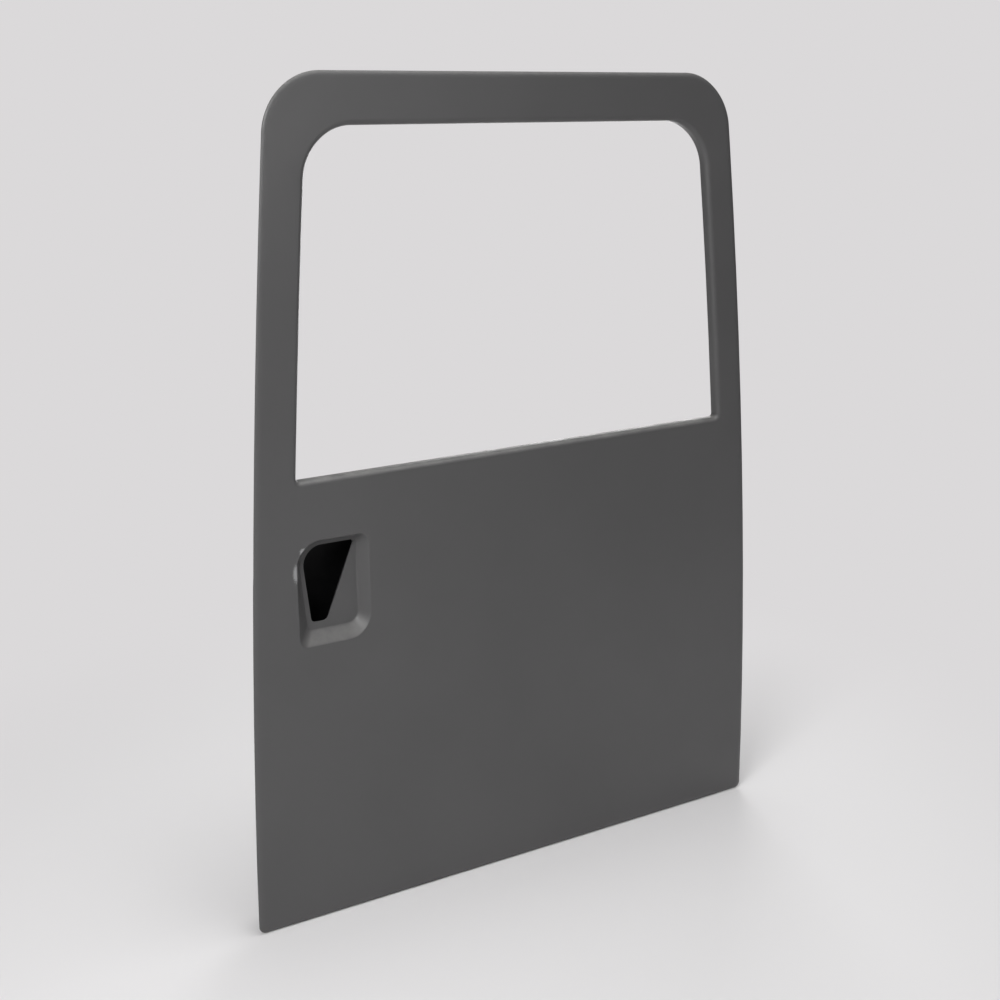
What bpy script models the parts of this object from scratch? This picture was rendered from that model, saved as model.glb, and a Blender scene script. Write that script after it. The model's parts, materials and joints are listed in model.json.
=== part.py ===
"""Right-hand door shell of a tall upright cab, bare and primered.

The door is drawn as a flat blank with straight sides, in door coordinates: x towards the hinge side,
y into the cab, z up, with y = 0 on the skin at the bottom edge. form() then bends every piece to the
same crown: the skin leans into the cab towards the roof, and the two side edges lean towards each other.
The door hangs from the upper hinge seat, so that seat is the origin of the finished part.
"""
import math

import bmesh
import bpy
from mathutils import Vector

# Overall shape
DOOR_HEIGHT = 1.330
DOOR_WIDTH = 1.000
SIDE_LEAN = 0.0776
SIDE_POWER = 1.75
BARREL_RADIUS = 31.5
TOP_CORNER = 0.086
BOTTOM_CORNER = 0.012
DOOR_DEPTH = 0.058
FRAME_DEPTH = 0.040
REAR_EDGE = -DOOR_WIDTH / 2
FRONT_EDGE = DOOR_WIDTH / 2

# Window
BELT_LINE = 0.740
SILL_DROP = 0.005
SILL = BELT_LINE - SILL_DROP
HEADER_RAIL = 0.0775
HEADER = DOOR_HEIGHT - HEADER_RAIL
SILL_RISE = 0.007
REAR_PILLAR = 0.069
FRONT_PILLAR = 0.057
WINDOW_TOP_CORNER = 0.074
WINDOW_LOW_CORNER = 0.006
REVEAL_ROLL = 0.009
REVEAL_DEPTH = 0.020
SKIN_LIP = 0.026
INNER_RECESS = 0.018
INNER_ROLL = 0.004
INNER_LIP = 0.011
TAPER_BELOW_BELT = 0.070
TAPER_RUN = 0.110
TAPER_HIGH = BELT_LINE - TAPER_BELOW_BELT
TAPER_LOW = TAPER_HIGH - TAPER_RUN

# Sheet and fits
SKIN = 0.0010
INNER = 0.0009
BRACKET = 0.0012
GAP = 0.0003

# Crowned edge and hem
CROWN_RADIUS = 0.020
CROWN_ANGLE = math.radians(30)
HEM_END_ANGLE = math.radians(6)
FLANGE_ANGLE = math.radians(27)
HEM = 2 * SKIN + INNER + 2 * GAP
CROWN_START = (CROWN_RADIUS - HEM / 2) * math.sin(CROWN_ANGLE) + HEM / 2

# Shut wall of the inner panel
WALL_INSET = 0.0145
WALL_BEND = 0.003
WALL_DRAFT = 0.006
WALL_CORNER = 0.022
PANEL_ROLL = 0.005

# Handle pocket: its rim on the finished skin, and how far each wall runs in before the floor
POCKET_DEPTH = 0.018
POCKET_FROM_EDGE = 0.088
POCKET_WIDTH = 0.126
POCKET_BELOW_BELT = 0.103
POCKET_HEIGHT = 0.171
POCKET_REAR = REAR_EDGE + POCKET_FROM_EDGE
POCKET_FRONT = POCKET_REAR + POCKET_WIDTH
POCKET_HIGH = BELT_LINE - POCKET_BELOW_BELT
POCKET_LOW = POCKET_HIGH - POCKET_HEIGHT
POCKET_REAR_HIGH_RUN = 0.010
POCKET_REAR_LOW_RUN = 0.024
POCKET_FRONT_RUN = 0.016
POCKET_LOW_RUN = 0.024
POCKET_HIGH_RUN = 0.007
POCKET_PROFILE = ((0, 0), (0.05, 0.015), (0.12, 0.070), (0.22, 0.190), (0.78, 0.810), (0.90, 0.940), (1, 1))
APERTURE_MARGIN = 0.006
APERTURE_FOOT = 0.026
APERTURE_RISE = 0.010
APERTURE_CORNER = 0.008

# Glass run
CHANNEL_WIDTH = 0.013
CHANNEL_DEPTH = 0.014
CHANNEL_RECESS = 0.012
CHANNEL_SHEET = 0.0009
GUIDE_LOW = 0.220

# Hinge, check link and latch seats on the shut wall
HINGE_SIDE = 1
LATCH_SIDE = -1
HINGE_SEAT = 0.100
UPPER_HINGE_Z = BELT_LINE - 0.250
LOWER_HINGE_Z = 0.130
CHECK_SEAT = 0.080
CHECK_Z = (UPPER_HINGE_Z + LOWER_HINGE_Z) / 2
LATCH_SEAT = 0.100
LATCH_Z = BELT_LINE - 0.240
SEAT_PROUD = 0.0015
SEAT_SLOPE = 0.006
SEAT_NEAR = 0.011
SEAT_EDGE = 0.003
SEAT_FAR = DOOR_DEPTH - PANEL_ROLL - 3 * SEAT_EDGE
SEAT_WIDTH = SEAT_FAR - SEAT_NEAR
SEAT_Y = (SEAT_NEAR + SEAT_FAR) / 2
SEATS = (
    (HINGE_SIDE, UPPER_HINGE_Z, HINGE_SEAT),
    (HINGE_SIDE, LOWER_HINGE_Z, HINGE_SEAT),
    (HINGE_SIDE, CHECK_Z, CHECK_SEAT),
    (LATCH_SIDE, LATCH_Z, LATCH_SEAT),
)
BOLT_HOLE = 0.009
BOLT_THREAD = 0.0068
BOLT_SPREAD = 0.050
BOLT_EDGE = 0.0105
BOLT_SETOFF = SEAT_WIDTH / 2 - BOLT_EDGE
HINGE_PLATE = 0.0025
TAPPING_PLATE = 0.008
TAPPING_WIDTH = SEAT_WIDTH - 0.007
TAPPING_HEIGHT = 0.074
PLATE_CORNER = 0.004
CAGE_SHEET = 0.0008
CAGE_FLOAT = 0.0008
CAGE_FOOT = 0.004
CAGE_WIDTH = TAPPING_WIDTH - 0.008
LATCH_SLOT_BAND = 0.0085
LATCH_SLOT_WIDTH = SEAT_WIDTH - 2 * LATCH_SLOT_BAND
LATCH_SLOT_HEIGHT = 0.052
LATCH_SCREW_SPREAD = 0.076
CHECK_SLOT_WIDTH = 0.010
CHECK_SLOT_HEIGHT = 0.030
CHECK_SCREW_SPREAD = 0.054
SLOT_CORNER = 0.003
SMALL_HOLE = 0.007

# Inner panel openings: x low, x high, z low, z high, corner radius
SERVICE_OPENINGS = (
    (REAR_EDGE + 0.330, FRONT_EDGE - 0.230, 0.130, BELT_LINE - 0.290, 0.050),
    (REAR_EDGE + 0.115, REAR_EDGE + 0.255, 0.130, BELT_LINE - 0.390, 0.035),
    (FRONT_EDGE - 0.170, FRONT_EDGE - 0.095, 0.150, BELT_LINE - 0.350, 0.030),
)
SERVICE_BORDER = 0.014
SERVICE_RECESS = 0.003
BEADS = (
    (REAR_EDGE + 0.280, FRONT_EDGE - 0.120, BELT_LINE - 0.254, BELT_LINE - 0.230, 0.0115),
    (REAR_EDGE + 0.140, FRONT_EDGE - 0.120, 0.066, 0.090, 0.0115),
)
BEAD_DEPTH = 0.004
BEAD_SLOPE = 0.005
TRIM_HOLE = 0.008
TRIM_LINE = 0.046
TRIM_END = 0.120
TRIM_PITCH = (DOOR_WIDTH - 2 * TRIM_END) / 4
TRIM_SIDE = 0.040
TRIM_SIDE_LOW = 0.140
TRIM_SIDE_PITCH = 0.160
DRAIN_LENGTH = 0.030
DRAIN_WIDTH = 0.008
DRAIN_END = 0.200
CRANK_HOLE = 0.028
CRANK_SIDES = 20
CRANK_X = 0.060
CRANK_Z = BELT_LINE - 0.205
PUNCH_REACH = 0.012

# Stiffeners
BAR_Z = 0.300
BAR_HEIGHT = 0.080
BAR_FLANGE = 0.018
BAR_CROWN = 0.030
BAR_SHEET = 0.0008
MASTIC = 0.0024
BAR_DEPTH = REVEAL_DEPTH - SKIN - 3 * GAP - MASTIC - BRACKET - GAP
MASTIC_LENGTH = 0.060
MASTIC_SPACING = 0.260
MASTIC_EDGE = 0.002
MASTIC_CORNER = 0.005
RAIL_SHEET = 0.0012
OUTER_RAIL_DROP = 0.044
OUTER_RAIL_FLANGE = 0.020
INNER_RAIL_DROP = 0.040
INNER_RAIL_FLANGE = 0.009
RAIL_END = 0.085
PULL_LENGTH = 0.180
PULL_X = -0.110
PULL_Z = BELT_LINE - 0.205
PULL_HEIGHT = 0.034
PULL_FLANGE = 0.008
PULL_SLOPE = 0.002
PULL_DEPTH = 0.014
GUIDE_BRACKET_WIDTH = 0.024
GUIDE_BRACKET_LEG = 0.026
GUIDE_BRACKET_RISE = 0.010
BAR_BRACKET_LEG = 0.034
BAR_BRACKET_WIDTH = 0.036

# Surface
SLICE = 0.110
TAPER_SLICES = 8
LOW_STEPS = 3
HIGH_STEPS = 8
BEND_STEPS = 3
HOLE_SIDES = 12
EPS = 1e-6

PRIMER = (0.085, 0.087, 0.088, 1.0)
GALVANISED = (0.42, 0.43, 0.44, 1.0)
STEEL = (0.30, 0.30, 0.31, 1.0)
MASTIC_BLACK = (0.02, 0.02, 0.022, 1.0)


# Forming

def lean(z):
    """How far a side edge has moved towards the middle at height z."""
    return SIDE_LEAN * (max(z, 0.0) / DOOR_HEIGHT) ** SIDE_POWER


def barrel(z):
    """How far the skin has moved into the cab at height z."""
    return z * z / (2 * BARREL_RADIUS)


def side_share(x):
    """Share of the side's lean that a point takes: none near the middle, all of it at the sides."""
    still = DOOR_WIDTH * 0.1
    full = DOOR_WIDTH * 0.35
    return min(max((abs(x) - still) / (full - still), 0.0), 1.0)


def formed(x, y, z):
    """The finished place of a point of the flat blank."""
    return Vector((x - math.copysign(lean(z) * side_share(x), x), y + barrel(z), z))


def flat_x(x, z):
    """The blank's x for a finished x at height z."""
    blank = x
    for _ in range(6):
        blank = x + math.copysign(lean(z) * side_share(blank), x)
    return blank


def panel_drop(z):
    """How much shallower the inner panel is at height z than at its foot."""
    t = min(max((z - TAPER_LOW) / (TAPER_HIGH - TAPER_LOW), 0.0), 1.0)
    return (DOOR_DEPTH - FRAME_DEPTH) * t * t * (3 - 2 * t)


def slice_across(bm, levels):
    for z in levels:
        bmesh.ops.bisect_plane(
            bm,
            geom=bm.verts[:] + bm.edges[:] + bm.faces[:],
            dist=EPS,
            plane_co=(0, 0, z),
            plane_no=(0, 0, 1),
        )


def door_levels():
    return [SLICE * k for k in range(1, int(DOOR_HEIGHT / SLICE) + 1)]


def taper_levels():
    step = (TAPER_HIGH - TAPER_LOW) / TAPER_SLICES
    return [TAPER_LOW + step * k for k in range(TAPER_SLICES + 1)]


def form(bm, tapered=False):
    """Bend a sliced blank to the door's crown, and to the taper of the inner panel where asked."""
    wall_end = DOOR_DEPTH - PANEL_ROLL - 2 * SEAT_EDGE
    for vert in bm.verts:
        x, y, z = vert.co
        if tapered:
            share = (y - SEAT_NEAR) / (wall_end - SEAT_NEAR)
            y -= panel_drop(z) * min(max(share, 0.0), 1.0)
        vert.co = formed(x, y, z)


# Outlines

def arc(centre, radius, start, turn, steps):
    points = []
    for step in range(steps + 1):
        angle = start + turn * step / steps
        points.append((centre[0] + radius * math.cos(angle), centre[1] + radius * math.sin(angle)))
    return points


def rounded(corners, steps):
    """Closed outline from (x, z, radius) corners, counterclockwise, with every corner an arc."""
    points = []
    count = len(corners)
    for index, (x, z, radius) in enumerate(corners):
        here = Vector((x, z))
        back = (Vector(corners[index - 1][:2]) - here).normalized()
        ahead = (Vector(corners[(index + 1) % count][:2]) - here).normalized()
        half = back.angle(ahead) / 2
        centre = here + (back + ahead).normalized() * radius / math.sin(half)
        first = here + back * radius / math.tan(half) - centre
        start = math.atan2(first.y, first.x)
        points += arc(centre, radius, start, math.pi - 2 * half, steps)
    return points


def block(x_low, x_high, z_low, z_high, radius, steps=BEND_STEPS):
    corners = (
        (x_low, z_low, radius),
        (x_high, z_low, radius),
        (x_high, z_high, radius),
        (x_low, z_high, radius),
    )
    return rounded(corners, steps)


def grown_block(shape, out):
    """Outline of a panel opening or bead, moved out all round."""
    x_low, x_high, z_low, z_high, radius = shape
    return block(x_low - out, x_high + out, z_low - out, z_high + out, radius + out)


def frame_loop(rear, front, low, high, low_radius, high_radius, rise=0.0):
    """Four-sided loop with small lower corners and large upper ones; the lower edge may rise."""
    half = DOOR_WIDTH / 2
    points = []
    for side, inset in ((1, front), (-1, rear)):
        x = half - inset
        foot = low + side * rise / 2
        run = arc((x - low_radius, foot + low_radius), low_radius, -math.pi / 2, math.pi / 2, LOW_STEPS)
        run += arc((x - high_radius, high - high_radius), high_radius, 0, math.pi / 2, HIGH_STEPS)
        if side < 0:
            run = [(-px, pz) for px, pz in reversed(run)]
        points += run
    return points


def outline(inset, low_radius=None):
    """The door's outline, moved in by inset."""
    if low_radius is None:
        low_radius = max(BOTTOM_CORNER - inset, 0.001)
    high_radius = TOP_CORNER - inset
    return frame_loop(inset, inset, inset, DOOR_HEIGHT - inset, low_radius, high_radius)


def wall_outline(inset):
    """The shut wall's outline, which has wider lower corners than the skin."""
    return outline(inset, WALL_CORNER - (inset - WALL_INSET))


def window(out):
    """The window's outline, moved out into the frame."""
    rear = REAR_PILLAR - out
    front = FRONT_PILLAR - out
    low_radius = WINDOW_LOW_CORNER + out
    return frame_loop(rear, front, SILL - out, HEADER + out, low_radius, WINDOW_TOP_CORNER + out, SILL_RISE)


def crown(angle, depth):
    """Inset and y of the point at this angle of the crowned edge, this far behind the outer face."""
    radius = CROWN_RADIUS - depth
    return CROWN_START - radius * math.sin(angle), CROWN_RADIUS - radius * math.cos(angle)


def wall_inset(y):
    """Inset of the shut wall at this depth, with its draft."""
    near = SKIN + GAP + INNER + WALL_BEND
    far = DOOR_DEPTH - PANEL_ROLL
    return WALL_INSET + WALL_DRAFT * (y - near) / (far - near)


# Surfaces

def add_loop(bm, points, y):
    return [bm.verts.new((x, y, z)) for x, z in points]


def loft(bm, loops, closed=True):
    """Join each loop of points to the next with a strip of faces."""
    for first, second in zip(loops, loops[1:]):
        count = len(first)
        for i in range(count if closed else count - 1):
            j = (i + 1) % count
            bm.faces.new((first[i], first[j], second[j], second[i]))


def fill(bm, *loops):
    """Fill one flat face; the loops after the first are holes in it."""
    edges = []
    for loop in loops:
        for i, vert in enumerate(loop):
            pair = (vert, loop[(i + 1) % len(loop)])
            edges.append(bm.edges.get(pair) or bm.edges.new(pair))
    bmesh.ops.triangle_fill(bm, use_beauty=True, use_dissolve=False, edges=edges)


def face_out(bm, y, direction):
    """Turn an open surface so that its flat face at this depth points in or out of the cab."""
    bmesh.ops.recalc_face_normals(bm, faces=bm.faces[:])
    flat = 0.0
    for face in bm.faces:
        if all(abs(v.co.y - y) < EPS for v in face.verts):
            flat += face.normal.y * face.calc_area()
    if flat * direction < 0:
        bmesh.ops.reverse_faces(bm, faces=bm.faces[:])


def prism(bm, outer, y_near, y_far, hole=None):
    """Solid plate between two depths, with an optional hole."""
    rings = [outer] if hole is None else [outer, hole]
    ends = [[add_loop(bm, ring, y) for ring in rings] for y in (y_near, y_far)]
    for near, far in zip(*ends):
        loft(bm, [near, far])
    fill(bm, *ends[0])
    fill(bm, *ends[1])
    bmesh.ops.recalc_face_normals(bm, faces=bm.faces[:])


def ribbon(points, thickness):
    """Closed section of a folded strip: the points, and the same line moved left by the thickness."""
    line = [Vector(point) for point in points]
    back = []
    for i, point in enumerate(line):
        ahead = (line[i + 1] - line[i]) if i < len(line) - 1 else None
        behind = (line[i] - line[i - 1]) if i > 0 else None
        normals = []
        for step in (behind, ahead):
            if step is not None and step.length > 0:
                step = step.normalized()
                normals.append(Vector((-step.y, step.x)))
        mean = sum(normals, Vector((0.0, 0.0))).normalized()
        back.append(point + mean * thickness / mean.dot(normals[0]))
    return line + back[::-1]


def extrude_section(bm, section, stations):
    """Sweep a closed section through stations; each station turns a section point into a place."""
    rings = [[bm.verts.new(place(u, v)) for u, v in section] for place in stations]
    loft(bm, rings)
    bm.faces.new(rings[0])
    bm.faces.new(rings[-1])
    bmesh.ops.recalc_face_normals(bm, faces=bm.faces[:])


def along_x(bm, section, x_low, x_high):
    """Folded strip in the y-z plane, drawn out along x."""
    extrude_section(bm, section, [lambda u, v, x=x: (x, u, v) for x in (x_low, x_high)])


def along_z(bm, section, z_low, z_high):
    """Folded strip in the x-y plane, drawn out along z."""
    extrude_section(bm, section, [lambda u, v, z=z: (u, v, z) for z in (z_low, z_high)])


# Objects

def material(name, colour, roughness, metallic):
    surface = bpy.data.materials.new(name)
    surface.use_nodes = True
    shader = surface.node_tree.nodes["Principled BSDF"]
    shader.inputs["Base Color"].default_value = colour
    shader.inputs["Roughness"].default_value = roughness
    shader.inputs["Metallic"].default_value = metallic
    surface.diffuse_color = colour
    return surface


def make_object(name, bm, datum, surface, smooth=math.radians(35)):
    """Object with its own origin at the middle of its shape, hung on the door's datum."""
    low = Vector([min(v.co[axis] for v in bm.verts) for axis in range(3)])
    high = Vector([max(v.co[axis] for v in bm.verts) for axis in range(3)])
    centre = (low + high) / 2
    bmesh.ops.translate(bm, verts=bm.verts[:], vec=-centre)
    mesh = bpy.data.meshes.new(name)
    bm.to_mesh(mesh)
    bm.free()
    mesh.shade_smooth()
    mesh.set_sharp_from_angle(angle=smooth)
    if surface is not None:
        mesh.materials.append(surface)
    made = bpy.data.objects.new(name, mesh)
    bpy.context.scene.collection.objects.link(made)
    made.location = centre
    made.parent = datum
    return made


def add_sheet(made, thickness):
    """Give an open surface its sheet thickness, on the side away from its normals."""
    sheet = made.modifiers.new("Sheet", "SOLIDIFY")
    sheet.thickness = thickness
    sheet.offset = -1
    sheet.use_even_offset = True
    sheet.use_quality_normals = True


def cutter(name, bm, datum, target):
    """Cut the target with a hidden guide object."""
    tool = make_object(name, bm, datum, None)
    tool.hide_render = True
    tool.display_type = "WIRE"
    cut = target.modifiers.new("Holes", "BOOLEAN")
    cut.operation = "DIFFERENCE"
    cut.object = tool


def punch(bm, centre, axis, outline_points, reach):
    """Closed punch along an axis: outline points lie across it, reach is its half length."""
    ends = []
    for end in (-reach, reach):
        ring = []
        for u, v in outline_points:
            place = {"x": (end, u, v), "y": (u, end, v), "z": (u, v, end)}[axis]
            ring.append(bm.verts.new(Vector(centre) + Vector(place)))
        ends.append(ring)
    loft(bm, ends)
    bm.faces.new(ends[0])
    bm.faces.new(ends[1])


def circle(diameter, sides=HOLE_SIDES):
    return arc((0, 0), diameter / 2, 0, 2 * math.pi * (sides - 1) / sides, sides - 1)


def slot(width, height, radius):
    return block(-width / 2, width / 2, -height / 2, height / 2, radius)


# Shut wall seats

def seat_plane(side, z, height):
    """x of a seat's flat face: proud of the shut wall at the hinges, sunk into it at the latch."""
    if side == HINGE_SIDE:
        return DOOR_WIDTH / 2 - lean(z - height / 2) - wall_inset(SEAT_NEAR) + SEAT_PROUD
    return -(DOOR_WIDTH / 2 - lean(z + height / 2) - wall_inset(SEAT_FAR))


def seat_levels():
    levels = []
    for _, z, height in SEATS:
        for end in (-1, 1):
            levels.append(z + end * height / 2)
            levels.append(z + end * (height / 2 + SEAT_SLOPE))
    return levels


def press_seats(bm):
    """Press the flat upright seats out of the formed shut wall."""
    for side, z, height in SEATS:
        plane = seat_plane(side, z, height)
        for vert in bm.verts:
            y = vert.co.y - barrel(vert.co.z)
            inside = SEAT_NEAR - EPS < y < SEAT_FAR + EPS and abs(vert.co.z - z) < height / 2 + EPS
            on_wall = side * vert.co.x > DOOR_WIDTH / 2 - lean(vert.co.z) - 2 * WALL_INSET
            if inside and on_wall:
                vert.co.x = plane


def seat_y(z):
    return SEAT_Y + barrel(z)


def hinge_holes(z, diameter):
    """Places and shapes of a hinge's three bolt holes; each place is y and z."""
    y = seat_y(z)
    spread = BOLT_SPREAD / 2
    places = ((y - BOLT_SETOFF, z - spread), (y - BOLT_SETOFF, z + spread), (y + BOLT_SETOFF, z))
    return [(place, circle(diameter)) for place in places]


def slot_and_screws(z, slot_width, slot_height, screw_spread):
    """Places and shapes of an upright slot in a seat and the screw holes over and under it."""
    y = seat_y(z)
    holes = [((y, z), slot(slot_width, slot_height, SLOT_CORNER))]
    for end in (-1, 1):
        holes.append(((y, z + end * screw_spread / 2), circle(SMALL_HOLE)))
    return holes


def latch_holes():
    return slot_and_screws(LATCH_Z, LATCH_SLOT_WIDTH, LATCH_SLOT_HEIGHT, LATCH_SCREW_SPREAD)


def check_holes():
    return slot_and_screws(CHECK_Z, CHECK_SLOT_WIDTH, CHECK_SLOT_HEIGHT, CHECK_SCREW_SPREAD)


# Panels

def pocket_outlines():
    """Rim and floor of the handle pocket, and the aperture in its floor, all on the blank.

    Each is given by its corners, counterclockwise seen from outside, as x, z and corner radius.
    """
    rear_low = POCKET_REAR + POCKET_REAR_LOW_RUN
    rear_high = POCKET_REAR + POCKET_REAR_HIGH_RUN
    front = POCKET_FRONT - POCKET_FRONT_RUN
    low = POCKET_LOW + POCKET_LOW_RUN
    high = POCKET_HIGH - POCKET_HIGH_RUN
    margin = APERTURE_MARGIN
    rim = (
        (POCKET_REAR, POCKET_LOW, 0.016),
        (POCKET_FRONT, POCKET_LOW, 0.040),
        (POCKET_FRONT, POCKET_HIGH, 0.020),
        (POCKET_REAR, POCKET_HIGH, 0.040),
    )
    floor = (
        (rear_low, low, 0.010),
        (front, low, 0.018),
        (front, high, 0.014),
        (rear_high, high, 0.034),
    )
    aperture = (
        (rear_low + margin, low + APERTURE_RISE, APERTURE_CORNER),
        (rear_low + margin + APERTURE_FOOT, low + APERTURE_RISE, APERTURE_CORNER),
        (front - margin / 2, high - margin, APERTURE_CORNER / 2),
        (rear_high + margin, high - margin, 0.030),
    )
    shapes = []
    for corners in (rim, floor, aperture):
        blank = [(flat_x(x, z), z, radius) for x, z, radius in corners]
        shapes.append(rounded(blank, 5))
    return shapes


def blend(first, second, share):
    return [(a[0] + (b[0] - a[0]) * share, a[1] + (b[1] - a[1]) * share) for a, b in zip(first, second)]


def outer_skin(datum, surface):
    """Skin in one sheet: crowned edge, hem, window reveal with its lip, and the handle pocket."""
    bm = bmesh.new()
    edge = []
    for step in range(BEND_STEPS + 1):
        inset, y = crown(CROWN_ANGLE * step / BEND_STEPS, 0)
        edge.append(add_loop(bm, outline(inset), y))
    inset, y = crown(CROWN_ANGLE, HEM / 2)
    for step in range(1, BEND_STEPS + 1):
        turn = CROWN_ANGLE + math.pi * step / BEND_STEPS
        bend = outline(inset - HEM / 2 * math.sin(turn))
        edge.append(add_loop(bm, bend, y - HEM / 2 * math.cos(turn)))
    for step in (1, 2):
        angle = CROWN_ANGLE + (HEM_END_ANGLE - CROWN_ANGLE) * step / 2
        inset, y = crown(angle, HEM)
        edge.append(add_loop(bm, outline(inset), y))
    loft(bm, edge)

    reveal = []
    for step in range(BEND_STEPS + 1):
        turn = math.pi / 2 * step / BEND_STEPS
        out = REVEAL_ROLL - REVEAL_ROLL * math.sin(turn)
        reveal.append(add_loop(bm, window(out), REVEAL_ROLL - REVEAL_ROLL * math.cos(turn)))
    fold = 1.5 * SKIN
    reveal.append(add_loop(bm, window(0), REVEAL_DEPTH - fold))
    reveal.append(add_loop(bm, window(fold), REVEAL_DEPTH))
    reveal.append(add_loop(bm, window(SKIN_LIP), REVEAL_DEPTH))
    loft(bm, reveal)

    rim, floor, aperture = pocket_outlines()
    pocket = [add_loop(bm, blend(rim, floor, run), POCKET_DEPTH * fall) for run, fall in POCKET_PROFILE]
    loft(bm, pocket)
    fill(bm, pocket[-1], add_loop(bm, aperture, POCKET_DEPTH))
    fill(bm, edge[0], reveal[0], pocket[0])
    face_out(bm, 0, -1)

    slice_across(bm, door_levels())
    form(bm)
    made = make_object("outer_skin", bm, datum, surface)
    add_sheet(made, SKIN)
    return made


def inner_panel(datum, surface):
    """Deep-drawn inner panel: hem flange, shut wall with its seats, tapered face, openings and beads."""
    bm = bmesh.new()
    edge = []
    behind = SKIN + GAP + INNER
    for step in range(3):
        inset, y = crown(FLANGE_ANGLE * (1 - step / 2), behind)
        edge.append(add_loop(bm, outline(inset), y))
    for step in range(BEND_STEPS):
        turn = math.pi / 2 * step / (BEND_STEPS - 1)
        inset = WALL_INSET - WALL_BEND + WALL_BEND * math.sin(turn)
        edge.append(add_loop(bm, wall_outline(inset), behind + WALL_BEND - WALL_BEND * math.cos(turn)))
    wall_end = DOOR_DEPTH - PANEL_ROLL
    wall_stops = (SEAT_NEAR - SEAT_EDGE, SEAT_NEAR, SEAT_FAR, SEAT_FAR + SEAT_EDGE, wall_end)
    for y in wall_stops:
        edge.append(add_loop(bm, wall_outline(wall_inset(y)), y))
    for step in range(1, BEND_STEPS):
        turn = math.pi / 2 * step / (BEND_STEPS - 1)
        inset = wall_inset(wall_end) + PANEL_ROLL - PANEL_ROLL * math.cos(turn)
        edge.append(add_loop(bm, wall_outline(inset), wall_end + PANEL_ROLL * math.sin(turn)))
    loft(bm, edge)

    lift = DOOR_DEPTH - FRAME_DEPTH
    lip_y = REVEAL_DEPTH + 2 * GAP + CHANNEL_WIDTH + lift
    reveal = []
    for step in range(BEND_STEPS):
        turn = math.pi / 2 * step / (BEND_STEPS - 1)
        out = INNER_RECESS + INNER_ROLL - INNER_ROLL * math.sin(turn)
        reveal.append(add_loop(bm, window(out), DOOR_DEPTH - INNER_ROLL + INNER_ROLL * math.cos(turn)))
    fold = 1.5 * INNER
    reveal.append(add_loop(bm, window(INNER_RECESS), lip_y + fold))
    reveal.append(add_loop(bm, window(INNER_RECESS + fold), lip_y))
    reveal.append(add_loop(bm, window(INNER_RECESS + INNER_LIP), lip_y))
    loft(bm, reveal)

    rims = [edge[-1], reveal[0]]
    for shape in SERVICE_OPENINGS:
        seat = add_loop(bm, grown_block(shape, SERVICE_BORDER + SERVICE_RECESS), DOOR_DEPTH)
        recess = add_loop(bm, grown_block(shape, SERVICE_BORDER), DOOR_DEPTH - SERVICE_RECESS)
        opening = add_loop(bm, grown_block(shape, 0), DOOR_DEPTH - SERVICE_RECESS)
        loft(bm, [seat, recess])
        fill(bm, recess, opening)
        rims.append(seat)
    for shape in BEADS:
        top = add_loop(bm, grown_block(shape, 0), DOOR_DEPTH)
        bed = add_loop(bm, grown_block(shape, -BEAD_SLOPE), DOOR_DEPTH - BEAD_DEPTH)
        loft(bm, [top, bed])
        fill(bm, bed)
        rims.append(top)
    fill(bm, *rims)
    face_out(bm, DOOR_DEPTH, 1)

    slice_across(bm, door_levels() + taper_levels() + seat_levels())
    form(bm, tapered=True)
    press_seats(bm)
    made = make_object("inner_panel", bm, datum, surface)
    add_sheet(made, INNER)
    cutter("inner_panel_punches", panel_punches(), datum, made)
    return made


def panel_punches():
    """Every small hole of the inner panel, as one set of punches."""
    bm = bmesh.new()
    for z in (UPPER_HINGE_Z, LOWER_HINGE_Z):
        plane = seat_plane(HINGE_SIDE, z, HINGE_SEAT)
        for place, shape in hinge_holes(z, BOLT_HOLE):
            punch(bm, (plane, *place), "x", shape, PUNCH_REACH)
    plane = seat_plane(HINGE_SIDE, CHECK_Z, CHECK_SEAT)
    for place, shape in check_holes():
        punch(bm, (plane, *place), "x", shape, PUNCH_REACH)
    plane = seat_plane(LATCH_SIDE, LATCH_Z, LATCH_SEAT)
    for place, shape in latch_holes():
        punch(bm, (plane, *place), "x", shape, PUNCH_REACH)

    for k in range(-2, 3):
        punch_face(bm, TRIM_PITCH * k, TRIM_LINE, circle(TRIM_HOLE))
    for side in (-1, 1):
        for k in range(3):
            z = TRIM_SIDE_LOW + TRIM_SIDE_PITCH * k
            punch_face(bm, side * (DOOR_WIDTH / 2 - lean(z) - TRIM_SIDE), z, circle(TRIM_HOLE))
        punch_face(bm, PULL_X + side * PULL_LENGTH / 3, PULL_Z, circle(SMALL_HOLE), PULL_DEPTH / 2)
    punch_face(bm, CRANK_X, CRANK_Z, circle(CRANK_HOLE, CRANK_SIDES))
    foot = wall_inset(DOOR_DEPTH / 2)
    drain = slot(DRAIN_LENGTH, DRAIN_WIDTH, SLOT_CORNER)
    for x in (REAR_EDGE + DRAIN_END, 0, FRONT_EDGE - DRAIN_END):
        punch(bm, (x, DOOR_DEPTH * 0.45, foot), "z", drain, PUNCH_REACH)
    bmesh.ops.recalc_face_normals(bm, faces=bm.faces[:])
    return bm


def punch_face(bm, x, z, shape, reach=PUNCH_REACH):
    """Punch through the inner panel's face."""
    punch(bm, (x, DOOR_DEPTH + barrel(z), z), "y", shape, reach)


# Glass run

def channel_section(near, recess):
    """U section as (out, y) points: open towards the window."""
    far = near + CHANNEL_WIDTH
    back = recess + CHANNEL_DEPTH
    return ribbon(((recess, near), (back, near), (back, far), (recess, far)), CHANNEL_SHEET)


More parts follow.
